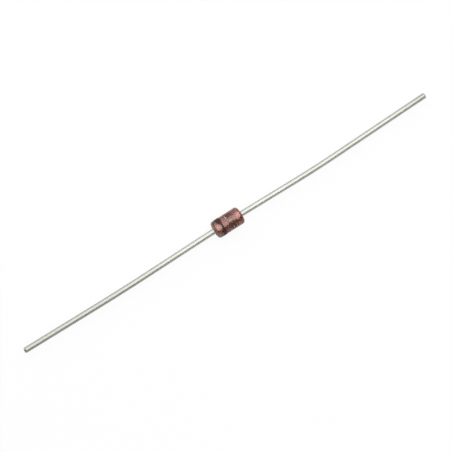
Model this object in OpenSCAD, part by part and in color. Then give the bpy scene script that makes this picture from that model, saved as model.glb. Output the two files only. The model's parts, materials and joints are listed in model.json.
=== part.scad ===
// Zener diode in a double-slug glass case with axial leads.
// It lies on its glass body, with the lead axis along X and the table at Z = 0.
// The cathode end, which the printed band marks, points to -X.

/* [Glass sleeve] */
// Length of the glass sleeve, end to end
body_l = 4.1; // [4:0.1:5.2]
// Outside diameter of the glass sleeve
body_d = 2.4; // [2.3:0.05:2.7]
// Radius of the fire-polished outer edge at each end
edge_r = 0.36; // [0.12:0.02:0.42]
// Radius of the melted lip that the glass forms around each slug
lip_r = 0.07; // [0.03:0.01:0.1]
// Room that the glass, which sags into the gap between the slugs, leaves at the corners of the chip
chip_room = 0.05; // [0.03:0.01:0.08]
// Radius of the two edges of that rib of glass
rib_r = 0.06; // [0.02:0.01:0.06]

/* [Slugs] */
// Diameter of the copper-clad slugs that the glass is sealed to
slug_d = 1.4; // [1.34:0.02:1.5]
// Depth of each slug's outer face below the end of the glass
slug_recess = 0.05; // [0.04:0.01:0.2]
// Chamfer on the two rims of a slug
slug_chamfer = 0.04; // [0.01:0.01:0.07]

/* [Chip] */
// Side of the square silicon chip
chip_w = 0.7; // [0.56:0.02:0.76]
// Thickness of the chip
chip_t = 0.14; // [0.1:0.01:0.3]
// Diameter of the silver bump that presses on the anode slug
bump_d = 0.46; // [0.3:0.02:0.5]
// Height of the bump
bump_h = 0.04; // [0.02:0.01:0.08]

/* [Leads] */
// Diameter of the tinned wire
lead_d = 0.76; // [0.7:0.02:0.86]
// Length of each lead, from the end of the glass to the cut tip
lead_l = 29.1; // [25.4:0.05:40]
// How far the bead, where wire and slug are butt-welded, stands proud of the wire
bead_proud = 0.05; // [0.03:0.01:0.06]
// Height of the weld bead
bead_h = 0.14; // [0.14:0.02:0.24]

/* [Cathode lead shape] */
// Angle between the wire and the axis where it leaves the weld
cathode_lean = 0.5; // [0:0.1:2]
// Distance from the end of the glass to the start of the bend
cathode_bend_at = 10.8; // [5:0.2:12]
// Radius of the bend
cathode_bend_r = 275; // [70:5:300]
// Angle that the bend turns the wire back by
cathode_bend = 1.5; // [0.5:0.1:2]
// Radius of the rim at the cut tip
cathode_tip_r = 0.26; // [0.04:0.02:0.32]

/* [Anode lead shape] */
// Angle between the wire and the axis where it leaves the weld
anode_lean = 1.1; // [0:0.1:2]
// Distance from the end of the glass to the start of the bend
anode_bend_at = 8.4; // [5:0.2:12]
// Radius of the bend
anode_bend_r = 145; // [70:5:240]
// Angle that the bend turns the wire back by
anode_bend = 2.4; // [0.5:0.1:3]
// Radius of the rim at the cut tip
anode_tip_r = 0.14; // [0.04:0.02:0.32]

/* [Cathode band] */
// Distance from the cathode end of the glass to the band
band_at = 0.58; // [0.46:0.02:0.9]
// Width of the printed band
band_w = 0.72; // [0.4:0.02:1]
// Thickness of the cured ink
ink_t = 0.02; // [0.01:0.005:0.04]

/* [Hidden] */
$fn = 64;

// The band is the widest ring, so the diode rests on it.
axis_z = body_d / 2 + ink_t;
// The chip and its bump fill the gap that the slugs leave in the middle of the sleeve.
slug_gap = chip_t + bump_h;
slug_face = body_l / 2 - slug_recess;
slug_l = slug_face - slug_gap / 2;
// The rib of glass in that gap reaches in to this radius, just outside the corners of the chip.
rib_crest = chip_w / sqrt(2) + chip_room;
// The bead runs all round the wire, and the wire starts in its middle.
bead_d = lead_d + 2 * bead_proud;
wire_start = slug_face + bead_h / 2;
// How far a cutter stands clear of the corner that it rounds
cut_clearance = 0.1;
// Step that the end of a bend is first rounded down to
coarse_step = 0.05;

// Turns shapes that are drawn along Z to lie along +X at the height of the diode's axis.
module along_axis() {
    translate([0, 0, axis_z]) rotate([0, 90, 0]) children();
}

// What a fillet of radius r takes off a square corner at the origin, with the material below and left.
module corner_cut(r) {
    difference() {
        translate([-r, -r]) square(r + cut_clearance);
        translate([-r, -r]) circle(r);
    }
}

// A round rod from Z = 0 up to h, with the same chamfer at both ends.
module chamfered_rod(d, h, chamfer) {
    r = d / 2;
    rotate_extrude()
        polygon([[0, 0], [r - chamfer, 0], [r, chamfer], [r, h - chamfer], [r - chamfer, h], [0, h]]);
}

// A round rod from Z = 0 up to h, with a rounded rim at the top.
module round_tipped_rod(d, h, tip_r) {
    rotate_extrude() difference() {
        square([d / 2, h]);
        translate([d / 2, h]) corner_cut(tip_r);
    }
}

// A flat disc from Z = 0 up to h, with a half-round rim.
module button(d, h) {
    rotate_extrude() {
        square([d / 2 - h / 2, h]);
        intersection() {
            translate([d / 2 - h / 2, h / 2]) circle(d = h);
            square([d / 2, h]);
        }
    }
}

// A wire from the origin along +X. It leans towards -Y, runs straight to the bend, turns back towards +Y
// and ends in a straight run with a rounded tip.
module bent_wire(lean, bend_at, bend_r, bend, tip_r) {
    first_run = body_l / 2 + bend_at - wire_start;
    last_run = lead_l - bend_at - bend_r * bend * PI / 180;
    // Where the bend ends. A coarse step and a small rest reach it, so that the runs meet without a gap.
    bend_end = [bend_r * sin(bend), bend_r * (1 - cos(bend)), 0];
    coarse = [for (v = bend_end) floor(v / coarse_step) * coarse_step];
    rotate([0, 0, -lean]) {
        rotate([0, 90, 0]) cylinder(d = lead_d, h = first_run);
        translate([first_run, 0, 0]) {
            translate([0, bend_r, 0]) rotate([0, 0, -90])
                rotate_extrude(angle = bend) translate([bend_r, 0]) circle(d = lead_d);
            translate(coarse) translate(bend_end - coarse) rotate([0, 0, bend]) rotate([0, 90, 0])
                round_tipped_rod(lead_d, last_run, tip_r);
        }
    }
}

// One slug, from the chip gap out to the weld on the +X side.
module slug() {
    along_axis() translate([0, 0, slug_gap / 2]) chamfered_rod(slug_d, slug_l, slug_chamfer);
}

// One lead on the +X side: the weld bead on the slug's outer face, and the wire.
module lead(lean, bend_at, bend_r, bend, tip_r) {
    along_axis() translate([0, 0, slug_face]) button(bead_d, bead_h);
    translate([wire_start, 0, axis_z]) bent_wire(lean, bend_at, bend_r, bend, tip_r);
}

// Section of the glass wall, with its rounded outer edge and its lip at each end.
module wall_section() {
    difference() {
        translate([slug_d / 2, -body_l / 2]) square([(body_d - slug_d) / 2, body_l]);
        for (end = [0, 1]) mirror([0, end]) {
            translate([body_d / 2, body_l / 2]) corner_cut(edge_r);
            translate([slug_d / 2, body_l / 2]) mirror([1, 0]) corner_cut(lip_r);
        }
    }
}

// Section of the rib of glass in the gap. It fills the chamfers of the slugs and has rounded inner edges.
module rib_section() {
    foot = slug_d / 2;
    half_w = slug_gap / 2;
    difference() {
        polygon([[rib_crest, -half_w], [foot - slug_chamfer, -half_w], [foot, -half_w - slug_chamfer],
                 [foot, half_w + slug_chamfer], [foot - slug_chamfer, half_w], [rib_crest, half_w]]);
        for (side = [0, 1]) mirror([0, side])
            translate([rib_crest, half_w]) mirror([1, 0]) corner_cut(rib_r);
    }
}

module glass_sleeve() {
    color("LightSalmon", 0.5) along_axis() rotate_extrude() {
        wall_section();
        rib_section();
    }
}

module cathode_slug() {
    color("Sienna") mirror([1, 0, 0]) slug();
}

module anode_slug() {
    color("Sienna") slug();
}

module zener_chip() {
    color("DimGray") along_axis() translate([-chip_w / 2, -chip_w / 2, -slug_gap / 2])
        cube([chip_w, chip_w, chip_t]);
}

module anode_bump() {
    color("Silver") along_axis() translate([0, 0, slug_gap / 2 - bump_h]) button(bump_d, bump_h);
}

module cathode_lead() {
    color("LightGray") mirror([1, 0, 0])
        lead(cathode_lean, cathode_bend_at, cathode_bend_r, cathode_bend, cathode_tip_r);
}

module anode_lead() {
    color("LightGray") lead(anode_lean, anode_bend_at, anode_bend_r, anode_bend, anode_tip_r);
}

module cathode_band() {
    color("Black") along_axis() rotate_extrude()
        translate([body_d / 2, band_at - body_l / 2]) square([ink_t, band_w]);
}

glass_sleeve();
cathode_slug();
anode_slug();
zener_chip();
anode_bump();
cathode_lead();
anode_lead();
cathode_band();
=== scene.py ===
# %% [markdown]
# # A zener diode in a glass case
#
# A small diode is a chip pressed between two copper-clad slugs, sealed into a short glass tube, with a
# tinned wire welded to each slug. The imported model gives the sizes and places, and the few that its boxes
# don't tell are written out below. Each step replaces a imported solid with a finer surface, worked out
# with numpy, and gives it the finish of the real piece. Lengths are in millimetres unless a comment says
# otherwise.

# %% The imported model
import json

import bpy
import numpy as np
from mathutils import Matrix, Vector

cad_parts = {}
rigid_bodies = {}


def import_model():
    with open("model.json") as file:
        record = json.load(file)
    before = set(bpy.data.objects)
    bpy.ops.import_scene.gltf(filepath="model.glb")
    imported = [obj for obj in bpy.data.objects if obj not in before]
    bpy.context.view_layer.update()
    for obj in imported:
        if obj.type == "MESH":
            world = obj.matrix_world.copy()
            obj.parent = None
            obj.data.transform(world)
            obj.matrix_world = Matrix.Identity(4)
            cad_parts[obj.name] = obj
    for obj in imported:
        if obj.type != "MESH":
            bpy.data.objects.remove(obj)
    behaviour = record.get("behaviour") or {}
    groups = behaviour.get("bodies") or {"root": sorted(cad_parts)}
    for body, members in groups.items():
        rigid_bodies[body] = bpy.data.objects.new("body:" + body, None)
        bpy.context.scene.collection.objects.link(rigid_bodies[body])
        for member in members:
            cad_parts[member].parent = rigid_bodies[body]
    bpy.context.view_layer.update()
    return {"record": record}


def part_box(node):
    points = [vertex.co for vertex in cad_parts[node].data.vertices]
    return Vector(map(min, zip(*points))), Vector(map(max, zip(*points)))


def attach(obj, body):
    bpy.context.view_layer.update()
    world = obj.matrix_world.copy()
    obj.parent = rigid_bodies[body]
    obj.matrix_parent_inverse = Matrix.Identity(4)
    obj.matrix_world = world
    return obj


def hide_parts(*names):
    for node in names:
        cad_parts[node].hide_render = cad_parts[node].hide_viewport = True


MM = 0.001  # metres
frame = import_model()


def node_box(node):
    """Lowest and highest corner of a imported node, in millimetres."""
    return [np.array(corner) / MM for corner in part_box(node)]


glass_low, glass_high = node_box("glass_sleeve")
body_l = glass_high[0] - glass_low[0]
body_r = (glass_high[2] - glass_low[2]) / 2
axis_z = (glass_high[2] + glass_low[2]) / 2
print(f"glass sleeve {body_l:.2f} mm long, {2 * body_r:.2f} mm across, axis {axis_z:.2f} mm up")

# %% [markdown]
# ## The camera
#
# The photograph looks down on the diode from a long way off compared with its size, so the lens is long
# and both leads keep nearly the same scale. The azimuth sets the slope of the leads in the picture, the
# distance sets how much shorter the far lead looks, and the field sets the scale. The camera could be
# turned to move the body in the picture, but a small shift of the lens does it without changing the
# perspective.

# %% Camera
AZIMUTH = np.radians(-33.43)
ELEVATION = np.radians(75.0)
DISTANCE = 384.0
FIELD = 58.66
PICTURE_PX = 452
BODY_PX = (227.5, 222.6)
CLIP_START = 10.0

towards_camera = Vector((
    np.sin(AZIMUTH) * np.cos(ELEVATION),
    -np.cos(AZIMUTH) * np.cos(ELEVATION),
    np.sin(ELEVATION),
))
body_middle = Vector((0, 0, axis_z * MM))
camera = bpy.data.objects.new("camera", bpy.data.cameras.new("camera"))
camera.location = body_middle + towards_camera * DISTANCE * MM
camera.rotation_euler = towards_camera.to_track_quat("Z", "Y").to_euler()
camera.data.lens = camera.data.sensor_width * DISTANCE / FIELD
camera.data.shift_x = (PICTURE_PX / 2 - BODY_PX[0]) / PICTURE_PX
camera.data.shift_y = (BODY_PX[1] - PICTURE_PX / 2) / PICTURE_PX
camera.data.clip_start = CLIP_START * MM
bpy.context.scene.collection.objects.link(camera)
bpy.context.scene.camera = camera
print(f"lens {camera.data.lens:.0f} mm for a field of {FIELD} mm at {DISTANCE:.0f} mm")

# %% [markdown]
# ## Surfaces
#
# Nearly every piece of the diode is round, so one helper places a point by how far along the axis it is,
# how far from the axis, and how far it is turned from straight up. Given arrays, it returns a whole grid
# of points. Another helper skins a stack of rings with faces. Blender's screw modifier could spin a
# profile too, but a grid also lets the radius change along the way round, as it does on melted glass.


# %% Points around the axis
def around_axis(x, r, turn):
    """Points at x along the axis and r away from it, turned by `turn` from straight up towards +Y."""
    x, r, turn = np.broadcast_arrays(x, r, turn)
    return np.stack([x, r * np.sin(turn), axis_z + r * np.cos(turn)], axis=-1)


def full_turn(count):
    """Angles that divide a full turn into `count` equal steps."""
    return np.arange(count) * 2 * np.pi / count


def wobble(angle, seed, waves=(2, 3, 5, 8)):
    """A smooth random curve that closes after a turn: a sum of sines, each weaker as it gets finer."""
    phases = np.random.default_rng(seed).uniform(0, 2 * np.pi, len(waves))
    return sum(np.sin(n * angle + phase) / n for n, phase in zip(waves, phases))


def superellipse(angle, power):
    """Reach of a rounded square of half side 1 at an angle: (|cos|^power + |sin|^power)^(-1 / power)."""
    return (np.abs(np.cos(angle)) ** power + np.abs(np.sin(angle)) ** power) ** (-1 / power)


print("a point on top of the body:", around_axis(0, body_r, 0).round(2).tolist())

# %% A skin over rings
CRISP_EDGE = np.radians(40)  # faces that meet at a greater angle are not shaded as one smooth surface


def skin(name, rings, loop=False):
    """Mesh over rings[i, j], point j of ring i, in millimetres.

    Quads join each ring to the next. A loop also joins the last ring to the first. Otherwise a fan of
    triangles about the ring's mean point closes each end. The signed volume, a sum of tetrahedra from
    the origin, tells whether the faces point inwards, and then they are turned round.
    """
    count, around = rings.shape[:2]
    index = np.arange(count * around).reshape(count, around)
    here, there = (index, np.roll(index, -1, axis=0)) if loop else (index[:-1], index[1:])
    corners = [here, np.roll(here, -1, axis=1), np.roll(there, -1, axis=1), there]
    quads = np.stack(corners, axis=-1).reshape(-1, 4)
    points = rings.reshape(-1, 3)
    triangles = np.empty((0, 3), int)
    if not loop:
        points = np.concatenate([points, rings[[0, -1]].mean(axis=1)])
        first, last = index[0], index[-1]
        start = np.stack([np.roll(first, -1), first, np.full(around, count * around)], axis=-1)
        end = np.stack([last, np.roll(last, -1), np.full(around, count * around + 1)], axis=-1)
        triangles = np.concatenate([start, end])
    halves = np.concatenate([quads[:, [0, 1, 2]], quads[:, [0, 2, 3]], triangles])
    a, b, c = (points[halves[:, k]] for k in range(3))
    volume = np.einsum("ij,ij->", a, np.cross(b, c)) / 6
    if volume < 0:
        quads, triangles = quads[:, ::-1], triangles[:, ::-1]
    mesh = bpy.data.meshes.new(name)
    mesh.from_pydata(points * MM, [], quads.tolist() + triangles.tolist())
    mesh.polygons.foreach_set("use_smooth", np.ones(len(mesh.polygons), bool))
    mesh.set_sharp_from_angle(angle=CRISP_EDGE)
    piece = bpy.data.objects.new(name, mesh)
    bpy.context.scene.collection.objects.link(piece)
    print(f"{name}: {len(mesh.polygons)} faces, {abs(volume):.4f} mm3")
    return piece


print(f"edges sharper than {np.degrees(CRISP_EDGE):.0f} degrees stay crisp")

# %% [markdown]
# ## Materials
#
# A colour is written as the hex value that a painting program would show, and one function turns it into
# the linear light that Cycles works in. One more function adds a shader node, sets its properties, and
# gives each input a value or joins it to another node's output. Patterns could be painted as images, but
# noise in the piece's own coordinates needs no file and keeps its size in millimetres.


# %% Helpers for materials
def linear(hex_colour):
    """sRGB hex to linear red, green, blue and alpha, by the sRGB transfer curve."""
    value = np.array([int(hex_colour[k:k + 2], 16) for k in (1, 3, 5)]) / 255
    rgb = np.where(value <= 0.04045, value / 12.92, ((value + 0.055) / 1.055) ** 2.4)
    return (*rgb.tolist(), 1.0)


def add(tree, kind, inputs=None, **settings):
    """Adds a node with these settings. Each input takes a value, or a link from another node's output."""
    node = tree.nodes.new(kind)
    for name, value in settings.items():
        setattr(node, name, value)
    for name, value in (inputs or {}).items():
        if isinstance(value, bpy.types.NodeSocket):
            tree.links.new(value, node.inputs[name])
        else:
            node.inputs[name].default_value = value
    return node


def new_material(name):
    """An empty node material, and the point in the piece's own frame as its first node's output."""
    material = bpy.data.materials.new(name)
    material.use_nodes = True
    material.node_tree.nodes.clear()
    place = add(material.node_tree, "ShaderNodeTexCoord").outputs["Object"]
    return material, material.node_tree, place


def per_metre(size_mm):
    """How many features of this size fit in a metre, which is a texture's scale."""
    return 1 / (size_mm * MM)


print("mid grey in linear light:", round(linear("#808080")[0], 3))

# %% [markdown]
# ## The table
#
# The diode lies on white paper. More light could make the paper pure white, but it would bleach the diode
# too. So the paper glows where the camera sees it, and it still takes a little of the diode's shadow. In
# mirror images and through glass it glows much less. Seen through the rim of the glass, the paper under
# the body is then in shadow, and this draws the dark outline of a clear body on a white table.

# %% White paper
# Uncoated paper gives the eye an even white with almost no gloss.
FIBRE_CLUMP = 0.4
CAMERA_GLOW = 0.92  # share of the glow in what the camera sees
MIRROR_GLOW = 0.1  # share of the glow in reflections and through glass

paper, tree, place = new_material("white_paper")
fibre = add(tree, "ShaderNodeTexNoise", {"Vector": place, "Scale": per_metre(FIBRE_CLUMP), "Detail": 4.0})
white = add(tree, "ShaderNodeMix", {"Factor": fibre.outputs["Fac"], "A": linear("#F8F8F8"),
                                    "B": linear("#FBFBFB")}, data_type="RGBA")
lit = add(tree, "ShaderNodeBsdfPrincipled", {"Base Color": white.outputs["Result"], "Roughness": 0.9,
                                             "Specular IOR Level": 0.1})
glow = add(tree, "ShaderNodeEmission", {"Color": linear("#FFFFFF"), "Strength": 1.0})
ray = add(tree, "ShaderNodeLightPath").outputs
seen = add(tree, "ShaderNodeMath", {0: ray["Is Camera Ray"], 1: CAMERA_GLOW}, operation="MULTIPLY")
mirrored = add(tree, "ShaderNodeMath", {0: ray["Is Glossy Ray"], 1: ray["Is Transmission Ray"]},
               operation="MAXIMUM")
mirrored = add(tree, "ShaderNodeMath", {0: mirrored.outputs["Value"], 1: MIRROR_GLOW}, operation="MULTIPLY")
share = add(tree, "ShaderNodeMath", {0: seen.outputs["Value"], 1: mirrored.outputs["Value"]},
            operation="MAXIMUM")
surface = add(tree, "ShaderNodeMixShader", {0: share.outputs["Value"], 1: lit.outputs["BSDF"],
                                            2: glow.outputs["Emission"]})
add(tree, "ShaderNodeOutputMaterial", {"Surface": surface.outputs["Shader"]})
print(f"{paper.name}: {len(tree.nodes)} nodes")

# %% Sheet of paper
SHEET_R = (5.0, 600.0)  # innermost and outermost ring
SHEET_RINGS = 8
SHEET_TURNS = 64
SHEET_T = 0.2

radius = np.geomspace(*SHEET_R, SHEET_RINGS)[:, None]
turn = full_turn(SHEET_TURNS)[None, :]
top = np.stack([radius * np.cos(turn), radius * np.sin(turn), 0 * radius * turn], axis=-1)
floor = skin("floor", np.concatenate([top, top[::-1] - (0, 0, SHEET_T)]))
floor.data.materials.append(paper)

# %% [markdown]
# ## The light
#
# Two softboxes light the table, a wide one overhead and a weaker one behind. The first draws the bright
# line along the leads and the body, the second lights their far sides, and the dim room leaves the near
# sides darker. Point lamps would be simpler, but their highlights would be small and hard.

# %% Softboxes and room
SOFTBOXES = {  # place and size, lean about X and Y in degrees, radiance
    "overhead": {"at": (45.0, -20.0, 250.0), "size": (230.0, 400.0), "lean": (0.0, 0.0), "radiance": 2.35},
    "back": {"at": (-100.0, 260.0, 190.0), "size": (460.0, 260.0), "lean": (-54.0, 0.0), "radiance": 1.3},
}
ROOM_RADIANCE = 0.14

for name, box in SOFTBOXES.items():
    lamp = bpy.data.objects.new(name, bpy.data.lights.new(name, "AREA"))
    lamp.data.shape = "RECTANGLE"
    lamp.data.size, lamp.data.size_y = np.array(box["size"]) * MM
    lamp.data.energy = box["radiance"] * np.pi * lamp.data.size * lamp.data.size_y
    lamp.location = Vector(box["at"]) * MM
    lamp.rotation_euler = (*np.radians(box["lean"]), 0)
    bpy.context.scene.collection.objects.link(lamp)
    print(f"{name} softbox {lamp.data.energy:.2f} W")

room = bpy.data.worlds.new("room")
room.use_nodes = True
room.node_tree.nodes.clear()
grey = add(room.node_tree, "ShaderNodeBackground", {"Color": linear("#FFFFFF"), "Strength": ROOM_RADIANCE})
add(room.node_tree, "ShaderNodeOutputWorld", {"Surface": grey.outputs["Background"]})
bpy.context.scene.world = room
bpy.context.scene.view_settings.view_transform = "Standard"
print(f"room radiance {ROOM_RADIANCE}")

# %% [markdown]
# ## Lead glass
#
# The sleeve is a short length of lead glass tube that was melted onto the slugs in a furnace. Lead glass
# bends light strongly, with an index of about 1.7, so the slugs look 1.7 times as thick as they are and
# seem to fill the body. The melt takes up some copper oxide, which gives it a faint warm red. The tint
# could be an even colour, but it changes along the axis: it is redder at the chip, darker at the anode
# end, where it is stain and painted shade, and lighter at the cathode end, where it is painted light.

# %% Lead glass
# Fire-polished glass gives the eye a clear, glossy body with a smooth surface that is never quite even.
RIPPLE_SIZE = 0.6
RIPPLE_DEPTH = 0.01

glass, tree, place = new_material("lead_glass")
ripple = add(tree, "ShaderNodeTexNoise", {"Vector": place, "Scale": per_metre(RIPPLE_SIZE), "Detail": 2.0})
smear = add(tree, "ShaderNodeMapRange", {"Value": ripple.outputs["Fac"], "To Min": 0.01, "To Max": 0.05})
relief = add(tree, "ShaderNodeBump", {"Height": ripple.outputs["Fac"], "Strength": 0.3,
                                      "Distance": RIPPLE_DEPTH * MM})
axis_x = add(tree, "ShaderNodeSeparateXYZ", {"Vector": place}).outputs["X"]
from_middle = add(tree, "ShaderNodeMath", {0: axis_x}, operation="ABSOLUTE").outputs["Value"]
# The tint at the cathode end is painted light, and the tint at the anode end is stain and painted shade.
stains_and_painted_light = {  # what is measured, where the stain starts and where it is full, and its colour
    "cathode end": (axis_x, -1.6, -2.0, "#E8D2C8"),
    "anode end": (axis_x, 1.7, 2.0, "#A86A66"),
    "chip": (from_middle, 0.16, 0.1, "#E8B09C"),
}
tint = linear("#DDC2B8")
for measure, start, full, colour in stains_and_painted_light.values():
    tinted = add(tree, "ShaderNodeMapRange", {"Value": measure, "From Min": start * MM,
                                               "From Max": full * MM}, interpolation_type="SMOOTHSTEP")
    tint = add(tree, "ShaderNodeMix", {"Factor": tinted.outputs["Result"], "A": tint,
                                       "B": linear(colour)}, data_type="RGBA").outputs["Result"]
shader = add(tree, "ShaderNodeBsdfPrincipled", {
    "Base Color": tint, "Roughness": smear.outputs["Result"], "IOR": 1.7,
    "Transmission Weight": 1.0, "Normal": relief.outputs["Normal"]})
add(tree, "ShaderNodeOutputMaterial", {"Surface": shader.outputs["BSDF"]})
print(f"{glass.name}: {len(tree.nodes)} nodes, stained at", ", ".join(stains_and_painted_light))

# %% [markdown]
# ## The glass sleeve
#
# The section of the sleeve is one closed outline: along the outside, round the melted edge, across the
# end, over the small lip at the slug, back through the bore, and around the rib of glass that sags into
# the gap at the chip. Carried once around the axis it gives the whole sleeve. A lathed tube with bevelled
# edges would do too, but numbers for each run put the points where the bends are. The bore is a hair
# narrower than the slugs, because the glass is bonded to them: with even a thin gap of air between, the
# slugs would look small and silvery.

# %% Section of the sleeve
EDGE_R = 0.36
LIP_R = 0.07
RIB_R = 0.06
SLUG_CHAMFER = 0.04
CHIP_ROOM = 0.05  # between the rib and the corners of the chip
BOND = 0.007  # how far the glass reaches into the slugs

slug_low, slug_high = node_box("anode_slug")
chip_low, chip_high = node_box("zener_chip")
slug_r = (slug_high[2] - slug_low[2]) / 2
bore_r = slug_r - BOND
rib_crest = (chip_high[1] - chip_low[1]) / np.sqrt(2) + CHIP_ROOM
rib_half = slug_low[0] + BOND


def quarter(middle, radius, first, last, count):
    """Points (x, r) of a quarter circle about its middle, from the angle `first` to `last`, in degrees."""
    angle = np.radians(np.linspace(first, last, count))
    return np.array(middle) + radius * np.stack([np.cos(angle), np.sin(angle)], axis=-1)


def sleeve_outline():
    """Half of the section: points (x, r) from the middle of the outside, over one end, to the rib's middle.

    Straight runs are joined by quarter circles at the outer edge, at the lip and at the edge of the rib.
    """
    end = body_l / 2
    edge_x, edge_r = end - EDGE_R, body_r - EDGE_R
    lip_x, lip_r = end - LIP_R, bore_r + LIP_R
    rib_x, rib_r = rib_half - RIB_R, rib_crest + RIB_R
    return np.concatenate([
        np.linspace((0, body_r), (edge_x, body_r), 24)[:-1],
        quarter((edge_x, edge_r), EDGE_R, 90, 0, 16),
        np.linspace((end, edge_r), (end, lip_r), 8)[1:-1],
        quarter((lip_x, lip_r), LIP_R, 0, -90, 10),
        np.linspace((lip_x, bore_r), (rib_half + SLUG_CHAMFER, bore_r), 20)[1:],
        np.linspace((rib_half, bore_r - SLUG_CHAMFER), (rib_half, rib_r), 4)[:-1],
        quarter((rib_x, rib_r), RIB_R, 0, -90, 8),
        np.linspace((rib_x, rib_crest), (0, rib_crest), 4)[1:],
    ])


half = sleeve_outline()
section = np.concatenate([half, half[-2:0:-1] * (-1, 1)])
print(f"section of {len(section)} points, bore {2 * bore_r:.3f} mm, rib {2 * rib_crest:.3f} mm inside")

# %% Glass sleeve
MELT = {"side": 0.01, "anode": 0.01, "cathode": 0.04}  # how far the glass has drawn in
MELT_POWER = 6  # how soon the melt fades away from an end
MELT_WAVER = 0.3
GLASS_TURNS = 160


def sleeve_rings():
    """The section carried around the axis, with the unevenness of the melt.

    Near an end, by the share |2 x / length|^6, the glass draws inwards by the melt of that end. The outside
    sinks by the melt of the side, most near the ends. Both waver around the axis.
    """
    x, r = section[:, :1], section[:, 1:]
    turn = full_turn(GLASS_TURNS)[None, :]
    outside = np.clip((r - bore_r) / (body_r - bore_r), 0, 1)
    past_lip = np.clip((r - bore_r) / LIP_R, 0, 1)
    near_end = np.abs(2 * x / body_l) ** MELT_POWER
    end_melt = np.where(x > 0, MELT["anode"], -MELT["cathode"]) * near_end * past_lip
    uneven_r = r - MELT["side"] * outside * (0.5 + 0.5 * near_end) * (1 + wobble(turn, seed=3)) / 2
    uneven_x = x - end_melt * (1 + MELT_WAVER * wobble(turn, seed=4)) / (1 + MELT_WAVER)
    return around_axis(uneven_x, uneven_r, turn)


def dress(piece, material, slot, *nodes):
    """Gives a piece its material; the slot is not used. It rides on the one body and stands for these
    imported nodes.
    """
    piece.data.materials.append(material)
    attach(piece, "root")
    if nodes:
        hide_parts(*nodes)


sleeve = skin("sealed_glass_sleeve", sleeve_rings(), loop=True)
dress(sleeve, glass, "glass", "glass_sleeve")

# %% [markdown]
# ## Oxidised copper
#
# A slug is cut from drawn nickel-iron rod with a copper skin. Its surface is oxidised to deep red cuprous
# oxide, because that is what the glass wets and bonds to. One flat red would look like paint, so one
# noise makes lighter and darker patches: partly brighter copper showing through, and partly painted
# highlights, since the lighter patches are moved to where the highlight spots lie. A second noise,
# stretched along the axis, makes the fine lines of the draw.

# %% Oxidised copper
# Oxidised copper gives the eye a satin red-brown metal, cloudy and faintly lined.
# The lighter patches of this pattern are partly painted highlights.
PATCHES_AND_HIGHLIGHTS_FROM = (1.9, 12.0, 5.5)  # moves the pattern until its lighter patches lie as in the photograph
PATCH_SIZE = 0.9
DRAW_LINE = 0.05  # coarser than the real lines, which are too fine to show
DRAW_STRETCH = (0.05, 1.0, 1.0)
DRAW_DEPTH = 0.004

oxide, tree, place = new_material("oxidised_copper")
moved = add(tree, "ShaderNodeMapping", {"Vector": place, "Location": Vector(PATCHES_AND_HIGHLIGHTS_FROM) * MM})
cloud = add(tree, "ShaderNodeTexNoise", {"Vector": moved.outputs["Vector"], "Scale": per_metre(PATCH_SIZE),
                                         "Detail": 4.0, "Roughness": 0.55})
along = add(tree, "ShaderNodeMapping", {"Vector": place, "Scale": DRAW_STRETCH})
draw_line = add(tree, "ShaderNodeTexNoise", {"Vector": along.outputs["Vector"],
                                             "Scale": per_metre(DRAW_LINE), "Detail": 2.0})
# Lighter patches: partly brighter copper, partly painted highlights.
patch_and_highlight = add(tree, "ShaderNodeMapRange", {"Value": cloud.outputs["Fac"], "From Min": 0.38, "From Max": 0.62})
red = add(tree, "ShaderNodeMix", {"Factor": patch_and_highlight.outputs["Result"], "A": linear("#A04947"),
                                  "B": linear("#E0A994")}, data_type="RGBA")
satin = add(tree, "ShaderNodeMapRange", {"Value": draw_line.outputs["Fac"], "To Min": 0.35, "To Max": 0.55})
relief = add(tree, "ShaderNodeBump", {"Height": draw_line.outputs["Fac"], "Strength": 0.5,
                                      "Distance": DRAW_DEPTH * MM})
shader = add(tree, "ShaderNodeBsdfPrincipled", {
    "Base Color": red.outputs["Result"], "Metallic": 0.8, "Roughness": satin.outputs["Result"],
    "Normal": relief.outputs["Normal"]})
add(tree, "ShaderNodeOutputMaterial", {"Surface": shader.outputs["BSDF"]})
print(f"{oxide.name}: {len(tree.nodes)} nodes, patches of {PATCH_SIZE} mm")

# %% [markdown]
# ## The slugs
#
# The two slugs are short rods with a chamfer at each rim, which the glass grips. A cylinder with a bevel
# modifier would give the same form. Here a short list of radii along the axis does, and one function
# makes both slugs, mirrored about the chip.

# %% Slugs
SLUG_TURNS = 128
SLUG_RINGS = 24


def slug_rings(side):
    """A rod with a chamfer at both rims, on the +X side for side 1 and the -X side for side -1."""
    inner_x, outer_x = slug_low[0], slug_high[0]
    rim_r = slug_r - SLUG_CHAMFER
    wall = np.linspace(inner_x + SLUG_CHAMFER, outer_x - SLUG_CHAMFER, SLUG_RINGS)
    x = np.array([inner_x, inner_x, *wall, outer_x, outer_x])
    r = np.array([rim_r / 2, rim_r, *np.full(SLUG_RINGS, slug_r), rim_r, rim_r / 2])
    return around_axis(side * x[:, None], r[:, None], full_turn(SLUG_TURNS)[None, :])


for node, side in (("cathode_slug", -1), ("anode_slug", 1)):
    slug = skin(f"oxidised_{node}", slug_rings(side))
    dress(slug, oxide, "slug", node)

# %% [markdown]
# ## Silicon and silver
#
# The chip is sawn from a silicon wafer, a dark grey crystal that shines like a dull metal. The bump on it
# is silver, plated up from the surface. Hardly any of this shows through the glass, so one noise for each
# is enough: saw marks on the silicon, and the grain of the plating on the silver.

# %% Sawn silicon
# Sawn silicon gives the eye a grey, half-metallic gloss, clouded by the saw.
SAW_MARK = 0.03

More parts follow.
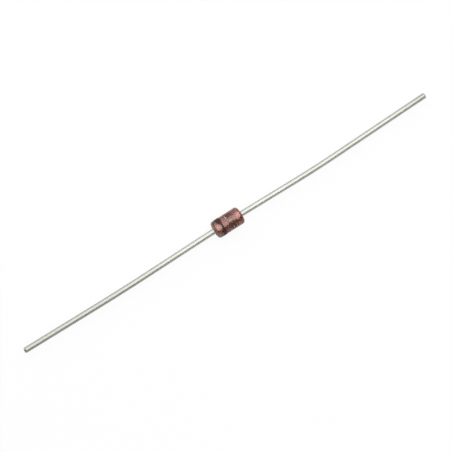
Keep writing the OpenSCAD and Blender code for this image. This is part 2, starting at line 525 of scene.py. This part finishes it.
silicon, tree, place = new_material("sawn_silicon")
saw_mark = add(tree, "ShaderNodeTexNoise", {"Vector": place, "Scale": per_metre(SAW_MARK), "Detail": 2.0})
grey = add(tree, "ShaderNodeMix", {"Factor": saw_mark.outputs["Fac"], "A": linear("#8E8C8C"),
                                   "B": linear("#A8A6A6")}, data_type="RGBA")
shader = add(tree, "ShaderNodeBsdfPrincipled", {"Base Color": grey.outputs["Result"], "Metallic": 0.6,
                                                "Roughness": 0.3})
add(tree, "ShaderNodeOutputMaterial", {"Surface": shader.outputs["BSDF"]})
print(f"{silicon.name}: {len(tree.nodes)} nodes")

# %% Plated silver
# Plated silver gives the eye a nearly white metal with a fine matt grain.
SILVER_GRAIN = 0.02  # coarser than the real grain, which is too fine to show

silver, tree, place = new_material("plated_silver")
grain = add(tree, "ShaderNodeTexNoise", {"Vector": place, "Scale": per_metre(SILVER_GRAIN), "Detail": 2.0})
matt = add(tree, "ShaderNodeMapRange", {"Value": grain.outputs["Fac"], "To Min": 0.3, "To Max": 0.5})
shader = add(tree, "ShaderNodeBsdfPrincipled", {"Base Color": linear("#E2DFD8"), "Metallic": 1.0,
                                                "Roughness": matt.outputs["Result"]})
add(tree, "ShaderNodeOutputMaterial", {"Surface": shader.outputs["BSDF"]})
print(f"{silver.name}: {len(tree.nodes)} nodes")

# %% [markdown]
# ## The chip and its bump
#
# The chip sits in the gap between the slugs, and the bump on its anode side presses against the anode
# slug. Through the glass the gap shows only as a thin line around the middle of the body. The chip could
# be a cube, but a stack of rounded squares gives it the slightly broken edges that sawing leaves. The
# bump is a disc with a round rim.

# %% Chip
CHIP_EDGE = 0.018
SQUARENESS = 14
CHIP_TURNS = 96


def chip_rings():
    """A square plate: superellipses of a high power, stacked along the axis and drawn in at both faces."""
    half_w = (chip_high[1] - chip_low[1]) / 2
    angle = full_turn(CHIP_TURNS)[None, :]
    x = np.array([chip_low[0], chip_low[0], chip_low[0] + CHIP_EDGE,
                  chip_high[0] - CHIP_EDGE, chip_high[0], chip_high[0]])[:, None]
    drawn_in = np.array([half_w / 2, CHIP_EDGE, 0, 0, CHIP_EDGE, half_w / 2])[:, None]
    return around_axis(x, (half_w - drawn_in) * superellipse(angle, SQUARENESS), angle)


chip = skin("sawn_zener_chip", chip_rings())
dress(chip, silicon, "silicon", "zener_chip")

# %% Bump
BUMP_RINGS = 12
BUMP_TURNS = 64

bump_low, bump_high = node_box("anode_bump")


def bump_rings():
    """A disc whose rim is half a circle from its foot on the chip to its top on the slug."""
    rim_r = (bump_high[0] - bump_low[0]) / 2
    flat_r = (bump_high[2] - bump_low[2]) / 2 - rim_r
    rim = np.linspace(0, np.pi, BUMP_RINGS)[:, None]
    x = bump_low[0] + rim_r * (1 - np.cos(rim))
    return around_axis(x, flat_r + rim_r * np.sin(rim), full_turn(BUMP_TURNS)[None, :])


bump = skin("plated_anode_bump", bump_rings())
dress(bump, silver, "silver", "anode_bump")

# %% [markdown]
# ## Matt tin
#
# The leads are copper-clad steel wire, plated with matt tin so that they solder well. Plating leaves a
# fine grain, and straightening rollers leave faint lines along the wire. Anisotropic gloss could stand
# for the lines, but a stretched noise shows them from close by too. The tin is painted a little darker
# along the cathode lead, as painted shade for the weaker light there, and at the tip of the anode lead.

# %% Matt tin plating
# Matt tin gives the eye a bright, slightly warm grey metal with soft highlights.
ROLLER_LINE = 0.06  # coarser than the real lines, which are too fine to show
ROLLER_STRETCH = (0.03, 1.0, 1.0)
ROLLER_DEPTH = 0.004
TIN_GRAIN = 0.08  # coarser than the real grain, which is too fine to show
TIN_BLOTCH = 2.5
# Painted shade along the cathode lead, and a darker tip on the anode lead.
DARKER_TIN = {"cathode": (0.0, -24.0), "anode": (26.0, 32.0)}  # along X, where it starts and where it is full

tin, tree, place = new_material("matt_tin_plating")
along = add(tree, "ShaderNodeMapping", {"Vector": place, "Scale": ROLLER_STRETCH})
roller = add(tree, "ShaderNodeTexNoise", {"Vector": along.outputs["Vector"],
                                          "Scale": per_metre(ROLLER_LINE), "Detail": 2.0})
grain = add(tree, "ShaderNodeTexNoise", {"Vector": place, "Scale": per_metre(TIN_GRAIN), "Detail": 3.0})
blotch = add(tree, "ShaderNodeTexNoise", {"Vector": place, "Scale": per_metre(TIN_BLOTCH), "Detail": 3.0})
tone = add(tree, "ShaderNodeMix", {"Factor": blotch.outputs["Fac"], "A": linear("#B8B9B2"),
                                   "B": linear("#CACBC5")}, data_type="RGBA")
axis_x = add(tree, "ShaderNodeSeparateXYZ", {"Vector": place}).outputs["X"]
# The darker tin on the cathode lead is painted shade.
for start, full in DARKER_TIN.values():
    darkened = add(tree, "ShaderNodeMapRange", {"Value": axis_x, "From Min": start * MM,
                                              "From Max": full * MM}, interpolation_type="SMOOTHSTEP")
    tone = add(tree, "ShaderNodeMix", {"Factor": darkened.outputs["Result"], "A": tone.outputs["Result"],
                                       "B": linear("#B4B5AE")}, data_type="RGBA")
satin = add(tree, "ShaderNodeMapRange", {"Value": grain.outputs["Fac"], "To Min": 0.38, "To Max": 0.54})
relief = add(tree, "ShaderNodeBump", {"Height": roller.outputs["Fac"], "Strength": 0.4,
                                      "Distance": ROLLER_DEPTH * MM})
shader = add(tree, "ShaderNodeBsdfPrincipled", {
    "Base Color": tone.outputs["Result"], "Metallic": 1.0, "Roughness": satin.outputs["Result"],
    "Normal": relief.outputs["Normal"]})
add(tree, "ShaderNodeOutputMaterial", {"Surface": shader.outputs["BSDF"]})
print(f"{tin.name}: {len(tree.nodes)} nodes")

# %% [markdown]
# ## The leads
#
# Each lead leaves its weld a little askew and bends back gently, as the photograph shows. A bevelled
# curve could follow that, but its radius is hard to shape at the ends. Here the course is given by its
# heading: constant, then turning evenly through the bend, then constant again. Summing small steps along
# the heading gives the centre line, and the radius along the way makes the weld bead at one end and the
# cropped tip at the other.

# %% Course and radius of a lead
LEAD_L = 29.1  # along the wire, from the end of the glass to the tip
BEAD_H = 0.14
BEAD_RINGS = 16
RUN_RINGS = 240
TIP_RINGS = 12
RING_GAP = 0.02  # between the long run's rings and those of the bead and the tip

wire_r = frame["record"]["mounts"][0]["dims"]["r_mm"]
lead_low, lead_high = node_box("anode_lead")
bead_r = (lead_high[2] - lead_low[2]) / 2
weld = slug_high[0] - body_l / 2  # outer face of the slug, measured outwards from the end of the glass


def ring_places(tip_round):
    """Distance s of each ring from the end of the glass: rings lie close on the bead and at the tip."""
    bead = weld + BEAD_H / 2 * (1 - np.cos(np.linspace(0, np.pi, BEAD_RINGS)))
    run = np.linspace(weld + BEAD_H + RING_GAP, LEAD_L - tip_round - RING_GAP, RUN_RINGS)
    tip = LEAD_L - tip_round * (1 - np.sin(np.linspace(0, np.pi / 2, TIP_RINGS)))
    return np.concatenate([bead, run, tip])


def ring_radius(s, tip_round):
    """A half-round bead over the weld, then the plain wire, then a quarter circle down to the tip."""
    bead = np.sqrt(np.clip(1 - ((s - weld - BEAD_H / 2) / (BEAD_H / 2)) ** 2, 0, 1))
    over_bead = bead_r - BEAD_H / 2 + BEAD_H / 2 * bead
    tip = np.clip((s - LEAD_L + tip_round) / tip_round, 0, 1)
    wire = wire_r - tip_round * (1 - np.sqrt(1 - tip ** 2))
    return np.maximum(over_bead * (s <= weld + BEAD_H), wire * (s > weld + BEAD_H / 2))


def heading(s, lean, bend_at, bend_r, bend):
    """Angle to the axis at s: -lean, plus the bend times the share of the bend that lies behind."""
    bend_l = bend_r * np.radians(bend)
    return np.radians(bend * np.clip((s - bend_at) / bend_l, 0, 1) - lean)


print(f"wire {2 * wire_r:.2f} mm thick, bead {2 * bead_r:.2f} mm across, {LEAD_L} mm to the tip")

# %% Leads
WIRE_TURNS = 48
SLANT_REACH = 3  # times the tip's rounding: how far back from the tip the slant of the cut starts
LEADS = {  # rounding of the tip, start and radius of the bend; slant of the cut, lean and bend in degrees
    "cathode_lead": {"side": -1, "tip_round": 0.26, "slant": -5.0,
                     "lean": 0.5, "bend_at": 10.8, "bend_r": 275.0, "bend": 1.5},
    "anode_lead": {"side": 1, "tip_round": 0.14, "slant": 0.0,
                   "lean": 1.1, "bend_at": 8.4, "bend_r": 145.0, "bend": 2.4},
}


def lead_rings(side, tip_round, slant, **course):
    """A round wire along its centre line, on the +X side for side 1 and the -X side for side -1.

    The centre line is a sum of steps, each along the heading halfway between two rings. Each ring lies
    square to the heading, and the last ones lean over by the slant of the cut.
    """
    s = ring_places(tip_round)
    steps = np.diff(s)
    between = heading((s[1:] + s[:-1]) / 2, **course)
    x = body_l / 2 + s[0] + np.concatenate([[0], np.cumsum(steps * np.cos(between))])[:, None]
    y = np.concatenate([[0], np.cumsum(steps * np.sin(between))])[:, None]
    facing = heading(s, **course)[:, None]
    radius = ring_radius(s, tip_round)[:, None]
    angle = full_turn(WIRE_TURNS)[None, :]
    out, up = radius * np.cos(angle), radius * np.sin(angle)
    reach = SLANT_REACH * tip_round
    ahead = np.tan(np.radians(slant)) * out * np.clip((s - LEAD_L + reach) / reach, 0, 1)[:, None]
    return np.stack([side * (x + ahead * np.cos(facing) - out * np.sin(facing)),
                     y + ahead * np.sin(facing) + out * np.cos(facing),
                     axis_z + up], axis=-1)


for node, shape in LEADS.items():
    lead = skin(f"tinned_{node}", lead_rings(**shape))
    dress(lead, tin, "tinned_wire", node)

# %% [markdown]
# ## Marking ink
#
# The marking is dark ink, rolled on in a thin film and baked. Where the film is thin, the copper behind
# the glass warms its colour. A see-through ink would do the same, but two browns mixed by a fine noise
# are simpler. The band is printed thick, and the bars are printed thinner.

# %% Baked ink
# Baked ink gives the eye a nearly black film, brown where it is thin, and duller than the glass.
INK_SPOT = 0.12
INKS = {"thick_baked_ink": ("#2C140E", "#4C281E"), "thin_baked_ink": ("#40221B", "#704636")}


def baked_ink(name, covered, worn):
    """Ink whose colour wanders between where it covers well and where the copper shines through."""
    material, tree, place = new_material(name)
    thin = add(tree, "ShaderNodeTexNoise", {"Vector": place, "Scale": per_metre(INK_SPOT), "Detail": 4.0})
    dark = add(tree, "ShaderNodeMix", {"Factor": thin.outputs["Fac"], "A": linear(covered),
                                       "B": linear(worn)}, data_type="RGBA")
    dull = add(tree, "ShaderNodeMapRange", {"Value": thin.outputs["Fac"], "To Min": 0.35, "To Max": 0.6})
    shader = add(tree, "ShaderNodeBsdfPrincipled", {"Base Color": dark.outputs["Result"],
                                                    "Roughness": dull.outputs["Result"],
                                                    "Specular IOR Level": 0.3})
    add(tree, "ShaderNodeOutputMaterial", {"Surface": shader.outputs["BSDF"]})
    return material


inks = {name: baked_ink(name, *colours) for name, colours in INKS.items()}
print("inks:", ", ".join(inks))

# %% [markdown]
# ## The cathode band
#
# The band runs all round the body and marks the cathode. It could be a dark stripe in the glass's
# material, but real ink stands on the surface and has an edge. So the band is a thin closed ring with
# ragged edges, and with the worn place that the photograph shows. It is sunk a little into the glass, so
# that no gap shows.

# %% Cathode band
BAND_TURNS = 256
BAND_TOP = 24  # rings over the top
BAND_UNDER = 8  # rings underneath, the two at the edges included
INK_POWER = 8  # how squarely the ink stands at its edges
SUNK = 0.005
RAGGED = 0.024
RAGGED_WAVES = (3, 7, 12, 19)
WORN = {"turn": np.radians(-25.0), "half": np.radians(45.0), "depth": 0.46, "power": 3, "other_edge": 0.125}

band_low, band_high = node_box("cathode_band")
ink_t = (band_high[2] - band_low[2]) / 2 - body_r


def band_rings():
    """A thin ring of ink: across it the height follows 1 - q^8, and both edges waver round the body.

    A worn place takes a bite out of the edge on the cathode side, as deep as exp(-|a / half|^3) at the
    angle a from its middle, and a much smaller one out of the other edge.
    """
    turn = full_turn(BAND_TURNS)[None, :]
    away = (turn - WORN["turn"] + np.pi) % (2 * np.pi) - np.pi
    bite = WORN["depth"] * np.exp(-np.abs(away / WORN["half"]) ** WORN["power"])
    left = band_low[0] + RAGGED * wobble(turn, seed=5, waves=RAGGED_WAVES) + bite
    right = band_high[0] + RAGGED * wobble(turn, seed=6, waves=RAGGED_WAVES) - bite * WORN["other_edge"]
    q = np.concatenate([np.linspace(-1, 1, BAND_TOP), np.linspace(1, -1, BAND_UNDER)[1:-1]])[:, None]
    on_top = np.arange(len(q))[:, None] < BAND_TOP
    r = body_r - SUNK + np.where(on_top, (ink_t + SUNK) * (1 - q ** INK_POWER), 0)
    return around_axis(left + (right - left) * (q + 1) / 2, r, turn)


band = skin("printed_cathode_band", band_rings(), loop=True)
dress(band, inks["thick_baked_ink"], "ink", "cathode_band")

# %% [markdown]
# ## Plain printed bars
#
# The anode half carries a few plain bars in the thinner ink. They could be cut from a sheet and wrapped
# with a modifier, but the wrap is simple to work out: a bar is a rounded rectangle in length and turn, so
# rings that grow from its middle to its rim, and shrink back underneath, lie on the glass by themselves.

# %% Printed bars
BAR_T = 0.014
BAR_POWER = 5  # how square the corners are
BAR_TURNS = 72
BAR_TOP = 12  # rings over the top
BAR_UNDER = 6  # rings underneath, the one at the rim included
BAR_MIDDLE = 0.1  # size of the smallest ring, as a share of the rim
BAR_WAVER = 0.06
BAR_WAVES = (3, 5, 9, 14)
BARS = (  # middle and half size of a row's turn in degrees, and where each bar starts and ends
    {"turn": 29.0, "half_turn": 15.0, "spans": ((0.14, 0.50), (0.60, 0.80), (0.90, 1.00))},
    {"turn": -45.5, "half_turn": 26.5, "spans": ((-0.10, 0.32), (0.42, 0.80), (0.92, 1.10))},
)


def bar_rings(start, end, turn, half_turn, seed):
    """Rings of a superellipse, from the middle out over the top and back underneath, laid on the glass."""
    angle = full_turn(BAR_TURNS)[None, :]
    rim = superellipse(angle, BAR_POWER) * (1 + BAR_WAVER * wobble(angle, seed, BAR_WAVES))
    share = np.concatenate([np.linspace(BAR_MIDDLE, 1, BAR_TOP),
                            np.linspace(1, BAR_MIDDLE, BAR_UNDER)[1:]])[:, None]
    on_top = np.arange(len(share))[:, None] < BAR_TOP
    r = body_r - SUNK + np.where(on_top, (BAR_T + SUNK) * (1 - share ** INK_POWER), 0)
    x = (start + end) / 2 + (end - start) / 2 * share * rim * np.cos(angle)
    return around_axis(x, r, np.radians(turn + half_turn * share * rim * np.sin(angle)))


for row, bars in enumerate(BARS, start=1):
    for number, (start, end) in enumerate(bars["spans"], start=1):
        rings = bar_rings(start, end, bars["turn"], bars["half_turn"], seed=10 * row + number)
        bar = skin(f"printed_bar_{row}_{number}", rings)
        dress(bar, inks["thin_baked_ink"], "ink")
